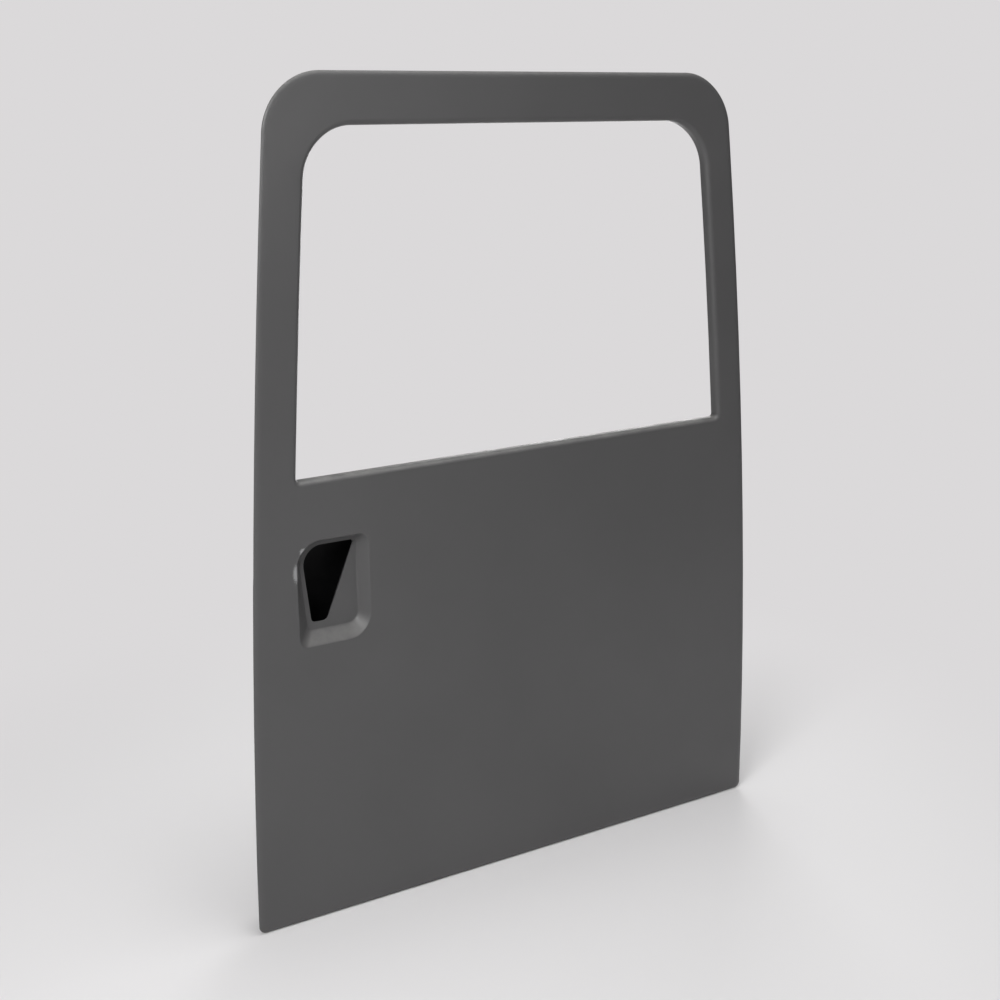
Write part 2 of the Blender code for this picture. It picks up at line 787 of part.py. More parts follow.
def glass_run_channel(datum, surface):
    """Channel up both pillars and across the header, between the skin's lip and the inner panel's."""
    bm = bmesh.new()
    section = channel_section(REVEAL_DEPTH + GAP, CHANNEL_RECESS)
    loops = [window(out) for out, _ in section]
    stations = range(LOW_STEPS, len(loops[0]) - LOW_STEPS)
    rings = []
    for station in stations:
        rings.append([bm.verts.new((loop[station][0], y, loop[station][1]))
                      for loop, (_, y) in zip(loops, section)])
    loft(bm, rings)
    bm.faces.new(rings[0])
    bm.faces.new(rings[-1])
    bmesh.ops.recalc_face_normals(bm, faces=bm.faces[:])
    slice_across(bm, door_levels())
    form(bm)
    return make_object("glass_run_channel", bm, datum, surface)


def guide_top(side):
    return SILL + side * SILL_RISE / 2 + WINDOW_LOW_CORNER - GAP


def guide(name, side, pillar, datum, surface):
    """Lower glass guide: the same channel carried down inside the door."""
    bm = bmesh.new()
    section = []
    for out, y in channel_section(REVEAL_DEPTH + GAP, CHANNEL_RECESS):
        section.append((side * (DOOR_WIDTH / 2 - pillar + out), y))
    along_z(bm, section, GUIDE_LOW, guide_top(side))
    slice_across(bm, door_levels())
    form(bm)
    return make_object(name, bm, datum, surface)


def guide_bracket(name, side, pillar, datum, surface):
    """Z bracket from the foot of a guide to the inner panel."""
    bm = bmesh.new()
    near = REVEAL_DEPTH + 2 * GAP + CHANNEL_WIDTH
    far = DOOR_DEPTH - INNER - GAP
    low = GUIDE_LOW + GUIDE_BRACKET_RISE
    bend = low + GUIDE_BRACKET_LEG
    high = bend + GUIDE_BRACKET_LEG
    points = ((near, low), (near, bend), (far - BRACKET, bend), (far - BRACKET, high))
    centred = DOOR_WIDTH / 2 - pillar + CHANNEL_RECESS + CHANNEL_DEPTH / 2 + GUIDE_BRACKET_WIDTH / 2
    flat_end = DOOR_WIDTH / 2 - wall_inset(DOOR_DEPTH - PANEL_ROLL) - PANEL_ROLL - INNER
    outer_end = min(centred, flat_end)
    section = ribbon(points[::-1], BRACKET)
    along_x(bm, section, side * (outer_end - GUIDE_BRACKET_WIDTH), side * outer_end)
    form(bm)
    return make_object(name, bm, datum, surface)


# Stiffeners

def rail_ends():
    """Ends of the belt rails on the blank, clear of the guides."""
    half = DOOR_WIDTH / 2
    return -(half - RAIL_END), half - RAIL_END


def outer_belt_rail(datum, surface):
    """Z rail from the skin to the lip below the sill."""
    bm = bmesh.new()
    near = SKIN + GAP
    lip = REVEAL_DEPTH - SKIN - GAP
    foot = SILL - OUTER_RAIL_DROP
    top = SILL - SILL_RISE / 2 - REVEAL_ROLL
    back = lip - RAIL_SHEET
    points = ((near, foot - OUTER_RAIL_FLANGE), (near, foot), (back, foot), (back, top))
    section = ribbon(points, -RAIL_SHEET)
    along_x(bm, section, *rail_ends())
    form(bm)
    return make_object("outer_belt_rail", bm, datum, surface)


def inner_belt_rail(datum, surface):
    """Z rail from the inner panel's lip to its face, at the cab side of the glass slot."""
    bm = bmesh.new()
    lip = REVEAL_DEPTH + 3 * GAP + CHANNEL_WIDTH + INNER
    face = FRAME_DEPTH - INNER - GAP
    foot = SILL - INNER_RAIL_DROP
    top = SILL - SILL_RISE / 2 - INNER_RECESS - INNER_ROLL
    back = face - RAIL_SHEET
    points = ((lip, top), (lip, foot), (back, foot), (back, foot - INNER_RAIL_FLANGE))
    section = ribbon(points, RAIL_SHEET)
    along_x(bm, section, *rail_ends())
    form(bm)
    return make_object("inner_belt_rail", bm, datum, surface)


def wall_reach(y):
    """Blank x just inside the shut wall at this depth."""
    return DOOR_WIDTH / 2 - wall_inset(y) - INNER - 2 * GAP


def skin_stiffener(datum, surface):
    """Hat bar across the middle of the skin, on mastic pads."""
    bm = bmesh.new()
    near = SKIN + 2 * GAP + MASTIC
    far = near + BAR_DEPTH - BAR_SHEET
    low = BAR_Z
    high = BAR_Z + BAR_HEIGHT
    middle = (low + high) / 2
    points = (
        (near, low),
        (near, low + BAR_FLANGE),
        (far, middle - BAR_CROWN / 2),
        (far, middle + BAR_CROWN / 2),
        (near, high - BAR_FLANGE),
        (near, high),
    )
    section = ribbon(points, -BAR_SHEET)
    reach = wall_reach(far)
    along_x(bm, section, -reach, reach)
    slice_across(bm, [BAR_Z + BAR_HEIGHT / 2])
    form(bm)
    return make_object("skin_stiffener", bm, datum, surface)


def stiffener_bracket(name, side, datum, surface):
    """L bracket from the back of the bar to the shut wall."""
    bm = bmesh.new()
    near = SKIN + 3 * GAP + MASTIC + BAR_DEPTH
    end_y = near + BAR_BRACKET_LEG / 2
    inner_end = wall_reach(near) - BAR_BRACKET_LEG
    points = ((inner_end, near), (wall_reach(near), near), (wall_reach(end_y), end_y))
    section = [(side * u, v) for u, v in ribbon(points, BRACKET)]
    middle = BAR_Z + BAR_HEIGHT / 2
    along_z(bm, section, middle - BAR_BRACKET_WIDTH / 2, middle + BAR_BRACKET_WIDTH / 2)
    form(bm)
    return make_object(name, bm, datum, surface)


def mastic_pads(datum, surface):
    near = SKIN + GAP
    count = 0
    for z in (BAR_Z, BAR_Z + BAR_HEIGHT - BAR_FLANGE):
        for k in (-1, 0, 1):
            count += 1
            bm = bmesh.new()
            x_low = k * MASTIC_SPACING - MASTIC_LENGTH / 2
            x_high = x_low + MASTIC_LENGTH
            z_low = z + MASTIC_EDGE
            z_high = z + BAR_FLANGE - MASTIC_EDGE
            prism(bm, block(x_low, x_high, z_low, z_high, MASTIC_CORNER), near, near + MASTIC)
            form(bm)
            make_object("mastic_pad_%d" % count, bm, datum, surface)


def handle_brace(datum, surface):
    """Plate behind the pocket's floor that takes the handle's bolts, open where the floor is."""
    bm = bmesh.new()
    rim, floor, aperture = pocket_outlines()
    near = POCKET_DEPTH + SKIN + GAP
    prism(bm, floor, near, near + BRACKET, hole=aperture)
    form(bm)
    return make_object("handle_brace", bm, datum, surface)


def pull_handle_bracket(datum, surface):
    """Hat bracket behind the inner panel for the pull handle's screws."""
    bm = bmesh.new()
    far = DOOR_DEPTH - INNER - GAP
    near = far - PULL_DEPTH
    low = PULL_Z - PULL_HEIGHT / 2
    high = PULL_Z + PULL_HEIGHT / 2
    points = (
        (far, low),
        (far, low + PULL_FLANGE),
        (near, low + PULL_FLANGE + PULL_SLOPE),
        (near, high - PULL_FLANGE - PULL_SLOPE),
        (far, high - PULL_FLANGE),
        (far, high),
    )
    section = ribbon(points, BRACKET)
    along_x(bm, section, PULL_X - PULL_LENGTH / 2, PULL_X + PULL_LENGTH / 2)
    form(bm)
    return make_object("pull_handle_bracket", bm, datum, surface)


# Seat plates

def upright_plate(name, outline_points, face, back, holes, datum, surface):
    """Plate with its edges along x, from face to back, punched with the given holes."""
    bm = bmesh.new()
    rings = [[bm.verts.new((x, y, z)) for y, z in outline_points] for x in (face, back)]
    loft(bm, rings)
    bm.faces.new(rings[0])
    bm.faces.new(rings[1])
    bmesh.ops.recalc_face_normals(bm, faces=bm.faces[:])
    plate = make_object(name, bm, datum, surface)
    punches = bmesh.new()
    for place, shape in holes:
        punch(punches, ((face + back) / 2, *place), "x", shape, abs(back - face))
    bmesh.ops.recalc_face_normals(punches, faces=punches.faces[:])
    cutter(name + "_punches", punches, datum, plate)


def seat_plate(name, seat, thickness, holes, datum, surface):
    """Plate against the inner side of a seat, clear of the seat's sloping edges."""
    side, z, height = seat
    y_low = SEAT_NEAR + SEAT_EDGE + barrel(z)
    y_high = SEAT_FAR - SEAT_EDGE + barrel(z)
    half = height / 2 - SEAT_EDGE
    outer = block(y_low, y_high, z - half, z + half, PLATE_CORNER)
    face = seat_plane(side, z, height) - side * (INNER + GAP)
    upright_plate(name, outer, face, face - side * thickness, holes, datum, surface)


def hinge_seat_parts(label, z, datum, plate_surface, steel_surface):
    """Reinforcement, tapping plate and its cage behind one hinge seat."""
    seat = (HINGE_SIDE, z, HINGE_SEAT)
    holes = hinge_holes(z, BOLT_HOLE)
    seat_plate(label + "_hinge_reinforcement", seat, HINGE_PLATE, holes, datum, plate_surface)

    face = seat_plane(*seat) - INNER - 2 * GAP - HINGE_PLATE
    back = face - TAPPING_PLATE
    y = seat_y(z)
    half_width = TAPPING_WIDTH / 2
    half_height = TAPPING_HEIGHT / 2
    outer = block(y - half_width, y + half_width, z - half_height, z + half_height, PLATE_CORNER)
    threads = hinge_holes(z, BOLT_THREAD)
    upright_plate(label + "_tapping_plate", outer, face, back, threads, datum, steel_surface)

    cage_back = back - CAGE_FLOAT
    low = z - half_height - CAGE_FLOAT
    top = z + half_height + CAGE_FLOAT
    points = (
        (face, low - CAGE_FOOT),
        (face, low),
        (cage_back, low),
        (cage_back, top),
        (face, top),
        (face, top + CAGE_FOOT),
    )
    bm = bmesh.new()
    ends = (y - CAGE_WIDTH / 2, y + CAGE_WIDTH / 2)
    extrude_section(bm, ribbon(points, CAGE_SHEET), [lambda u, v, end=end: (u, end, v) for end in ends])
    make_object(label + "_plate_cage", bm, datum, plate_surface)


def main():
    for old in list(bpy.data.objects):
        bpy.data.objects.remove(old, do_unlink=True)
    primer = material("grey_primer", PRIMER, 0.45, 0.0)
    zinc = material("galvanised_sheet", GALVANISED, 0.5, 1.0)
    steel = material("plain_steel", STEEL, 0.45, 1.0)
    mastic = material("black_mastic", MASTIC_BLACK, 0.8, 0.0)

    datum = bpy.data.objects.new("upper_hinge_datum", None)
    bpy.context.scene.collection.objects.link(datum)
    seat_x = seat_plane(HINGE_SIDE, UPPER_HINGE_Z, HINGE_SEAT)
    datum.location = (-seat_x, -seat_y(UPPER_HINGE_Z), -UPPER_HINGE_Z)

    outer_skin(datum, primer)
    inner_panel(datum, primer)
    glass_run_channel(datum, zinc)
    for name, side, pillar in (("rear", LATCH_SIDE, REAR_PILLAR), ("front", HINGE_SIDE, FRONT_PILLAR)):
        guide("glass_guide_" + name, side, pillar, datum, zinc)
        guide_bracket("guide_bracket_" + name, side, pillar, datum, primer)
        stiffener_bracket("stiffener_bracket_" + name, side, datum, primer)
    outer_belt_rail(datum, primer)
    inner_belt_rail(datum, primer)
    skin_stiffener(datum, primer)
    mastic_pads(datum, mastic)
    handle_brace(datum, primer)
    pull_handle_bracket(datum, primer)
    hinge_seat_parts("upper", UPPER_HINGE_Z, datum, primer, steel)
    hinge_seat_parts("lower", LOWER_HINGE_Z, datum, primer, steel)
    latch_seat = (LATCH_SIDE, LATCH_Z, LATCH_SEAT)
    seat_plate("latch_reinforcement", latch_seat, BRACKET, latch_holes(), datum, primer)
    check_seat = (HINGE_SIDE, CHECK_Z, CHECK_SEAT)
    seat_plate("check_link_reinforcement", check_seat, HINGE_PLATE, check_holes(), datum, primer)


main()
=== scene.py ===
"""Looks of a bare right-hand door shell: coats and bare metal, smooth pressings, weld marks and sealer."""
import json
import math

import bmesh
import bpy
from mathutils import Matrix, Vector
from mathutils.bvhtree import BVHTree


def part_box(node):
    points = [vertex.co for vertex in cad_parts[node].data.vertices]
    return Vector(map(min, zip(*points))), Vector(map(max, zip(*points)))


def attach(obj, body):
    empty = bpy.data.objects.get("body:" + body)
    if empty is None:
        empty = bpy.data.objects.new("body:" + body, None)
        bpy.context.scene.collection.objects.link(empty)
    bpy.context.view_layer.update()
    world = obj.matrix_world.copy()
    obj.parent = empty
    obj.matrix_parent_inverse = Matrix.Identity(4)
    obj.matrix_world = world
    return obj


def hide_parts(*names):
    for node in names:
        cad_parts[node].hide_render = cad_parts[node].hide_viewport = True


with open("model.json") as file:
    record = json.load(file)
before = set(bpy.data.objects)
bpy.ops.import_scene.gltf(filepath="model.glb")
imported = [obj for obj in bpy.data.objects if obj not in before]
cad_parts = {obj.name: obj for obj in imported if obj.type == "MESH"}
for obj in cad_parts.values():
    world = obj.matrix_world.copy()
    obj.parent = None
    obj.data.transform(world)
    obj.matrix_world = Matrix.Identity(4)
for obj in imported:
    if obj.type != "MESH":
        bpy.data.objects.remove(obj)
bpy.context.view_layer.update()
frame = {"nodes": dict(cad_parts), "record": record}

# The door's own coordinates: x from its middle to the hinge side, y into the cab, z up from its foot
SKIN_LOW, SKIN_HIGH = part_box("outer_skin")
DOOR = Vector(((SKIN_LOW.x + SKIN_HIGH.x) / 2, SKIN_LOW.y, SKIN_LOW.z))
DOOR_WIDTH = 1.000
DOOR_HEIGHT = 1.330
TOP_CORNER = 0.086
SIDE_LEAN = 0.0776
SIDE_POWER = 1.75
BARREL_RADIUS = 31.5

# Camera, from the photograph's perspective, in the door's coordinates
LENS = 54.15
CAMERA_PLACE = Vector((-1.310, -2.010, 1.303))
CAMERA_HEADING = Vector((0.53144, 0.84712, 0.0))
CAMERA_PITCH = math.radians(-15.267)

# Colours, as linear values
BACKGROUND = (0.708, 0.694, 0.701, 1.0)
FLOOR = (0.79, 0.78, 0.785, 1.0)
PRIMER = (0.086, 0.085, 0.086, 1.0)
# Light grey of the highlight spots painted on the pocket's rim
RIM_HIGHLIGHT_GREY = (0.30, 0.30, 0.305, 1.0)
DUST = (0.25, 0.245, 0.235, 1.0)
DIPPED = (0.032, 0.032, 0.034, 1.0)
# Near black of the inner panel's cavity side: a dark coat, darkened further to paint in the shade inside the
# door behind the pocket's aperture
CAVITY_COAT_AND_SHADE = (0.004, 0.004, 0.0043, 1.0)
ZINC = (0.40, 0.41, 0.42, 1.0)
STEEL = (0.28, 0.28, 0.29, 1.0)
MASTIC = (0.018, 0.018, 0.020, 1.0)
SEALER = (0.060, 0.060, 0.062, 1.0)

# Orange peel of every coat, and how much rougher settled dust is than the coat under it
PEEL_STRENGTH = 0.5
PEEL_HEIGHT = 0.0001
DUST_ROUGHER = 0.35

# Painted highlights: light spots on the pocket's rim where its rolled edge catches the light: x, z, half width,
# half height
RIM_HIGHLIGHT_SPOTS = (
    (-0.4115, 0.589, 0.0068, 0.0150),
    (-0.3990, 0.6225, 0.0070, 0.0060),
)
HIGHLIGHT_SPOT_HALF_DEPTH = 0.008

# Triangles of a node become faces again where points are this close and faces turn this little
SAME_POINT = 0.00001
SAME_FACE = 0.0005

# Folds of a sheet that stay crisp, and folds where one side of the sheet ends
SHEET_FOLD = math.radians(35)
SHEET_RIM = math.radians(75)

# Curved outlines: points added to each step, and the largest turn and longest step of a curve
ARC_CUTS = 2
ARC_TURN = math.radians(40)
LONGEST_STEP = 0.045

# A point isn't a bend where it turns less than STRAIGHT, or turns slightly and lies nearly on the line
STRAIGHT = math.radians(1.5)
SLIGHT_TURN = math.radians(4.5)
NEARLY_ON = 0.00006

# Points at one depth within LEVEL are level, and a step LONG_RUN times its neighbour's length is a straight run
LEVEL = 0.00004
LONG_RUN = 1.25

# Least sine of the turn at a curve's start, and least share of it that the end turns the same way
LEAST_BEND = 0.02
EVEN_BEND = 0.25

# Level faces that meet at more than this angle are folded over, and are joined in a few passes
FOLDED = math.radians(150)
FOLD_PASSES = 4

# Weld marks: their section as shares of the radius and heights, and where the rays for them start
WELD_RADIUS = 0.0040
WELD_SIDES = 20
WELD_SECTION = ((1.0, 0.0), (0.88, 0.00035), (0.74, 0.00035), (0.62, 0.00008))
CAB_SIDE = 0.2
BEYOND_WALL = 0.7

# Bead of sealer: its line in from the outline, its depth, and the steps of that line's parts
BEAD_INSET = 0.0102
BEAD_DEPTH = 0.0030
BEAD_RADIUS = 0.0015
BEAD_SIDES = 10
BEAD_CORNER = 0.0020
FOOT_STEPS = 5
SIDE_STEPS = 15
TOP_STEPS = 12

# Grey of the light all round, from straight below at 0 past the horizon at 0.5 to overhead at 1
SKY = ((0.0, 0.09), (0.48, 0.08), (0.56, 0.07), (0.72, 0.08), (0.88, 0.15), (1.0, 0.18))

# Square lights, in the door's coordinates: place, target, side length, power and cone
LIGHTS = (
    ("key", (-2.2, -1.6, 2.4), (-0.1, 0, 0.8), 1.2, 54, math.pi),
    ("left", (-2.6, -1.2, 1.2), (-0.2, 0, 0.6), 1.2, 9, math.pi),
    ("top", (0.3, -0.5, 3.6), (0.1, -0.3, 0), 3.0, 74, math.pi),
    ("back", (1.6, 2.0, 1.0), (0, 0, 0.65), 1.2, 30, math.pi),
    ("catch", (0.52, -2.80, 1.66), (-0.46, 0.03, 1.30), 0.30, 0.17, math.radians(35)),
)

# Floor: half its width, how far it lies under the door's foot, and where it runs into the background
FLOOR_REACH = 20.0
FLOOR_DROP = 0.0015
FADE_START = 0.55
FADE_END = 1.5


def place(x, y, z):
    """A point of the door's coordinates in the frame's."""
    return DOOR + Vector((x, y, z))


def lean(z):
    """How far a side edge has moved towards the middle at height z."""
    return SIDE_LEAN * (max(z, 0.0) / DOOR_HEIGHT) ** SIDE_POWER


def barrel(z):
    """How far the skin has moved into the cab at height z."""
    return z * z / (2 * BARREL_RADIUS)


# Shader parts

def socket(group, name, kind, direction, value=None):
    made = group.interface.new_socket(name, in_out=direction, socket_type=kind)
    if value is not None:
        made.default_value = value


def node(tree, kind, **settings):
    made = tree.nodes.new(kind)
    for key, value in settings.items():
        setattr(made, key, value)
    return made


def link(tree, *pairs):
    for source, target in zip(pairs[::2], pairs[1::2]):
        tree.links.new(source, target)


def maths(tree, operation, *values):
    """Math node whose inputs are other outputs or plain numbers; gives its output."""
    made = node(tree, "ShaderNodeMath", operation=operation)
    for entry, value in zip(made.inputs, values):
        if isinstance(value, (int, float)):
            entry.default_value = value
        else:
            tree.links.new(value, entry)
    return made.outputs[0]


def noise(tree, where, scale, detail, rough):
    made = node(tree, "ShaderNodeTexNoise")
    made.inputs["Scale"].default_value = scale
    made.inputs["Detail"].default_value = detail
    made.inputs["Roughness"].default_value = rough
    tree.links.new(where, made.inputs["Vector"])
    return made.outputs["Fac"]


def spread(tree, value, given, wanted):
    """The value, with its given range spread over the wanted one."""
    made = node(tree, "ShaderNodeMapRange")
    for name, end in zip(("From Min", "From Max", "To Min", "To Max"), given + wanted):
        made.inputs[name].default_value = end
    tree.links.new(value, made.inputs["Value"])
    return made.outputs["Result"]


def mix_colour(tree, share, first, second):
    """Mix of an output and a plain colour; sockets 6 and 7 and output 2 are the node's colour ones."""
    made = node(tree, "ShaderNodeMix", data_type="RGBA")
    tree.links.new(share, made.inputs["Factor"])
    tree.links.new(first, made.inputs[6])
    made.inputs[7].default_value = second
    return made.outputs[2]


def build_coat_group():
    """Cloudy colour, uneven gloss and orange peel of a dipped or sprayed coat."""
    group = bpy.data.node_groups.new("coat_film", "ShaderNodeTree")
    socket(group, "Color", "NodeSocketColor", "INPUT", (0.1, 0.1, 0.1, 1))
    socket(group, "Cloud", "NodeSocketFloat", "INPUT", 0.1)
    socket(group, "Roughness", "NodeSocketFloat", "INPUT", 0.4)
    socket(group, "Peel", "NodeSocketFloat", "INPUT", 0.1)
    socket(group, "Color", "NodeSocketColor", "OUTPUT")
    socket(group, "Roughness", "NodeSocketFloat", "OUTPUT")
    socket(group, "Height", "NodeSocketFloat", "OUTPUT")
    given = node(group, "NodeGroupInput")
    result = node(group, "NodeGroupOutput")
    where = node(group, "ShaderNodeTexCoord").outputs["Object"]

    cloud = noise(group, where, scale=3.2, detail=3.0, rough=0.55)
    speck = noise(group, where, scale=520.0, detail=2.0, rough=0.7)
    both = maths(group, "MULTIPLY_ADD", cloud, 0.8, maths(group, "MULTIPLY", speck, 0.2))
    swing = maths(group, "MULTIPLY", maths(group, "SUBTRACT", both, 0.5), given.outputs["Cloud"])
    tint = node(group, "ShaderNodeVectorMath", operation="SCALE")
    link(group, given.outputs["Color"], tint.inputs[0],
         maths(group, "ADD", swing, 1.0), tint.inputs["Scale"],
         tint.outputs[0], result.inputs["Color"])

    smear = spread(group, noise(group, where, scale=11.0, detail=4.0, rough=0.6), (0.3, 0.7), (0.88, 1.12))
    link(group, maths(group, "MULTIPLY", smear, given.outputs["Roughness"]), result.inputs["Roughness"])

    peel = noise(group, where, scale=340.0, detail=1.5, rough=0.5)
    link(group, maths(group, "MULTIPLY", peel, given.outputs["Peel"]), result.inputs["Height"])
    return group


def build_dust_group():
    """Mask of the dust that settles on faces turned up and gathers in patches."""
    group = bpy.data.node_groups.new("settled_dust", "ShaderNodeTree")
    socket(group, "Amount", "NodeSocketFloat", "INPUT", 0.3)
    socket(group, "Mask", "NodeSocketFloat", "OUTPUT")
    given = node(group, "NodeGroupInput")
    result = node(group, "NodeGroupOutput")
    where = node(group, "ShaderNodeTexCoord").outputs["Object"]
    axes = node(group, "ShaderNodeSeparateXYZ")
    link(group, node(group, "ShaderNodeNewGeometry").outputs["Normal"], axes.inputs[0])
    upward = spread(group, axes.outputs["Z"], (0.25, 0.95), (0.0, 1.0))
    patch = spread(group, noise(group, where, scale=38.0, detail=4.0, rough=0.65), (0.35, 0.65), (0.35, 1.0))
    both = maths(group, "MULTIPLY", upward, patch)
    link(group, maths(group, "MULTIPLY", both, given.outputs["Amount"]), result.inputs["Mask"])
    return group


def build_rim_highlight_group():
    """Mask of the small highlights painted on the pocket's rim, ragged at their edges."""
    group = bpy.data.node_groups.new("painted_rim_highlights", "ShaderNodeTree")
    socket(group, "Strength", "NodeSocketFloat", "INPUT", 1.0)
    socket(group, "Mask", "NodeSocketFloat", "OUTPUT")
    given = node(group, "NodeGroupInput")
    result = node(group, "NodeGroupOutput")
    where = node(group, "ShaderNodeTexCoord").outputs["Object"]
    ragged = maths(group, "MULTIPLY", noise(group, where, scale=620.0, detail=3.0, rough=0.6), 1.3)
    total = None
    for x, z, half_width, half_height in RIM_HIGHLIGHT_SPOTS:
        offset = node(group, "ShaderNodeVectorMath", operation="SUBTRACT")
        offset.inputs[1].default_value = place(x, barrel(z), z)
        ratio = node(group, "ShaderNodeVectorMath", operation="DIVIDE")
        ratio.inputs[1].default_value = (half_width, HIGHLIGHT_SPOT_HALF_DEPTH, half_height)
        reach = node(group, "ShaderNodeVectorMath", operation="LENGTH")
        link(group, where, offset.inputs[0], offset.outputs[0], ratio.inputs[0],
             ratio.outputs[0], reach.inputs[0])
        spot = spread(group, maths(group, "ADD", reach.outputs["Value"], ragged), (1.25, 1.75), (1.0, 0.0))
        total = spot if total is None else maths(group, "MAXIMUM", total, spot)
    link(group, maths(group, "MULTIPLY", total, given.outputs["Strength"]), result.inputs["Mask"])
    return group


def coated(name, colour, groups, roughness, cloud, peel, metallic=0.0, dust=0.0, rim_highlight=0.0, specular=0.5):
    """Material with the coat's colour, gloss and skin, and dust or painted highlight spots where asked."""
    film_group, dust_group, rim_highlight_group = groups
    made = bpy.data.materials.new(name)
    made.use_nodes = True
    tree = made.node_tree
    shader = tree.nodes["Principled BSDF"]
    film = node(tree, "ShaderNodeGroup", node_tree=film_group)
    film.inputs["Color"].default_value = colour
    film.inputs["Cloud"].default_value = cloud
    film.inputs["Roughness"].default_value = roughness
    film.inputs["Peel"].default_value = peel
    tone = film.outputs["Color"]
    gloss = film.outputs["Roughness"]
    if dust:
        settled = node(tree, "ShaderNodeGroup", node_tree=dust_group)
        settled.inputs["Amount"].default_value = dust
        tone = mix_colour(tree, settled.outputs["Mask"], tone, DUST)
        gloss = maths(tree, "MULTIPLY_ADD", settled.outputs["Mask"], DUST_ROUGHER, gloss)
    # Painted highlight: light grey spots mixed into the colour on the pocket's rim
    if rim_highlight:
        highlight_mask = node(tree, "ShaderNodeGroup", node_tree=rim_highlight_group)
        highlight_mask.inputs["Strength"].default_value = rim_highlight
        tone = mix_colour(tree, highlight_mask.outputs["Mask"], tone, RIM_HIGHLIGHT_GREY)
    bump = node(tree, "ShaderNodeBump")
    bump.inputs["Strength"].default_value = PEEL_STRENGTH
    bump.inputs["Distance"].default_value = PEEL_HEIGHT
    link(tree, tone, shader.inputs["Base Color"], gloss, shader.inputs["Roughness"],
         film.outputs["Height"], bump.inputs["Height"], bump.outputs["Normal"], shader.inputs["Normal"])
    shader.inputs["Metallic"].default_value = metallic
    shader.inputs["Specular IOR Level"].default_value = specular
    return made


# Pieces

def add_object(name, data):
    made = bpy.data.objects.new(name, data)
    bpy.context.scene.collection.objects.link(made)
    return made


def finished(bm, name):
    """Mesh of all that the bmesh holds."""
    mesh = bpy.data.meshes.new(name)
    bm.to_mesh(mesh)
    bm.free()
    return mesh


def add_ring(bm, sides, point_at):
    """Ring of points, where point_at gives the place for each angle's cosine and sine."""
    ring = []
    for k in range(sides):
        angle = 2 * math.pi * k / sides
        ring.append(bm.verts.new(point_at(math.cos(angle), math.sin(angle))))
    return ring


def join_rings(bm, first, second):
    """Band of faces between two rings."""
    for k in range(len(first)):
        after = (k + 1) % len(first)
        bm.faces.new((first[k], first[after], second[after], second[k]))


def add_piece(name, mesh, surfaces):
    """Object of a finished mesh, riding on the door's body."""
    mesh.materials.clear()
    for surface in surfaces:
        mesh.materials.append(surface)
    made = add_object(name, mesh)
    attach(made, "root")
    return made


def level(vert):
    """How far behind the skin's line a point lies, whatever its height."""
    co = vert.co - DOOR
    return co.y - barrel(co.z)


def is_flat(face):
    depths = [level(vert) for vert in face.verts]
    return max(depths) - min(depths) < LEVEL


def outline_edges(bm):
    """Edges that run round an outline at one depth: corners, openings, rolls and holes."""
    found = []
    for edge in bm.edges:
        first, second = edge.verts
        if abs(level(first) - level(second)) < LEVEL and not all(is_flat(face) for face in edge.link_faces):
            found.append(edge)
    return found


def outline_spans(edges):
    """Stretches of outline from one bend to the next, each as its points in order."""
    runs = {}
    for edge in edges:
        for vert in edge.verts:
            runs.setdefault(vert, []).append(edge)
    bends = []
    passed = set()
    for vert, pair in runs.items():
        if len(pair) == 2:
            arms = [edge.other_vert(vert).co - vert.co for edge in pair]
            turn = math.pi - arms[0].angle(arms[1])
            aside = arms[0].cross(arms[1]).length / (arms[0] - arms[1]).length
            if turn < STRAIGHT or (turn < SLIGHT_TURN and aside < NEARLY_ON):
                passed.add(vert)
            elif turn < ARC_TURN:
                bends.append(vert)
    spans = []
    for vert in bends:
        for edge in runs[vert]:
            span = [vert, edge.other_vert(vert)]
            while span[-1] in passed:
                edge = next(other for other in runs[span[-1]] if other is not edge)
                span.append(edge.other_vert(span[-1]))
            spans.append(span)
    return spans


def run_tangents(spans):
    """Direction of the outline at each bend: along the straight run, or midway in a curve."""
    arms = {}
    for span in spans:
        reach = (span[-1].co - span[0].co).length
        arms.setdefault(span[0], []).append((reach, (span[1].co - span[0].co).normalized()))
    tangents = {}
    for vert, pair in arms.items():
        (longer, along), (shorter, back) = sorted(pair, key=lambda arm: -arm[0])
        tangents[vert] = along if longer > LONG_RUN * shorter else (along - back).normalized()
    return tangents


def on_curve(first, second, start, end, share):
    """Point on the smooth curve from first to second that leaves and arrives along the tangents."""
    reach = (second - first).length
    square, cube = share ** 2, share ** 3
    return (first * (2 * cube - 3 * square + 1) + start * reach * (cube - 2 * square + share)
            + second * (3 * square - 2 * cube) + end * reach * (cube - square))


def curved_spans(spans, tangents):
    """Spans that bend one way from end to end, with their tangents."""
    found = []
    for span in spans:
        first, second = span[0], span[-1]
        chord = second.co - first.co
        if second not in tangents or second.index < first.index or chord.length > LONGEST_STEP:
            continue
        heading = chord.normalized()
        start, end = (tangents[vert] * math.copysign(1, tangents[vert].dot(chord))
                      for vert in (first, second))
        bend = start.cross(heading)
        if bend.length > LEAST_BEND and bend.dot(heading.cross(end)) > EVEN_BEND * bend.length ** 2:
            found.append((span, start, end))
    return found


def join_folded(bm):
    """Join level faces that a moved outline has folded over their neighbours."""
    for _ in range(FOLD_PASSES):
        bm.normal_update()
        folded = [edge for edge in bm.edges
                  if len(edge.link_faces) == 2 and edge.calc_face_angle(0) > FOLDED
                  and all(is_flat(face) for face in edge.link_faces)]
        if not folded:
            return
        bmesh.ops.dissolve_edges(bm, edges=folded, use_verts=False, use_face_split=False)


